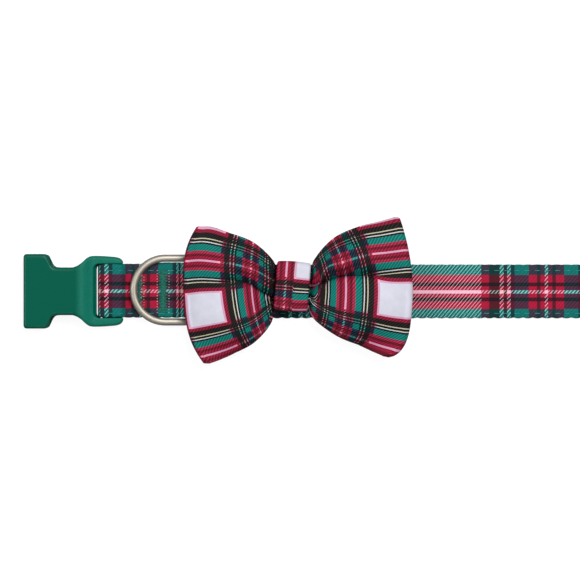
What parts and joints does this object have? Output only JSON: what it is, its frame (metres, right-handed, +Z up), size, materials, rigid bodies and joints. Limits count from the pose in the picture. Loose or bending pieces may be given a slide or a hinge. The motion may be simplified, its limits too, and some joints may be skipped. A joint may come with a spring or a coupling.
{
  "type": "dog collar",
  "caption": "Unfastened tartan dog collar laid flat: woven strap with a side-release buckle, a swinging steel D-ring for a lead, and a gathered fabric bow.",
  "frame": {"origin": "on the back of the strap, under the middle of the bow's knot, on the surface that the collar lies on", "axes": "+X along the strap from the buckle's socket to its plug, +Y across the strap, +Z up out of the strap's face"},
  "size_m": [0.361, 0.0553, 0.0167],
  "materials": {
    "buckle": "moulded acetal, satin green",
    "webbing": "woven twill tartan webbing",
    "ring": "nickel-plated drawn wire",
    "bow_cloth": "printed tartan twill cloth"
  },
  "bodies": {
    "collar": {"buckle_socket": "buckle", "buckle_plug": "buckle", "strap": "webbing", "bow_loops": "bow_cloth", "bow_knot": "bow_cloth"},
    "ring": {"d_ring": "ring"}
  },
  "joints": [
    {"name": "d_ring_swing", "type": "hinge", "parent": "collar", "child": "ring", "pos_m": [-0.0381, 0.0003, 0.0032], "axis": [0, 1, 0], "range_deg": [0, 45]}
  ]
}
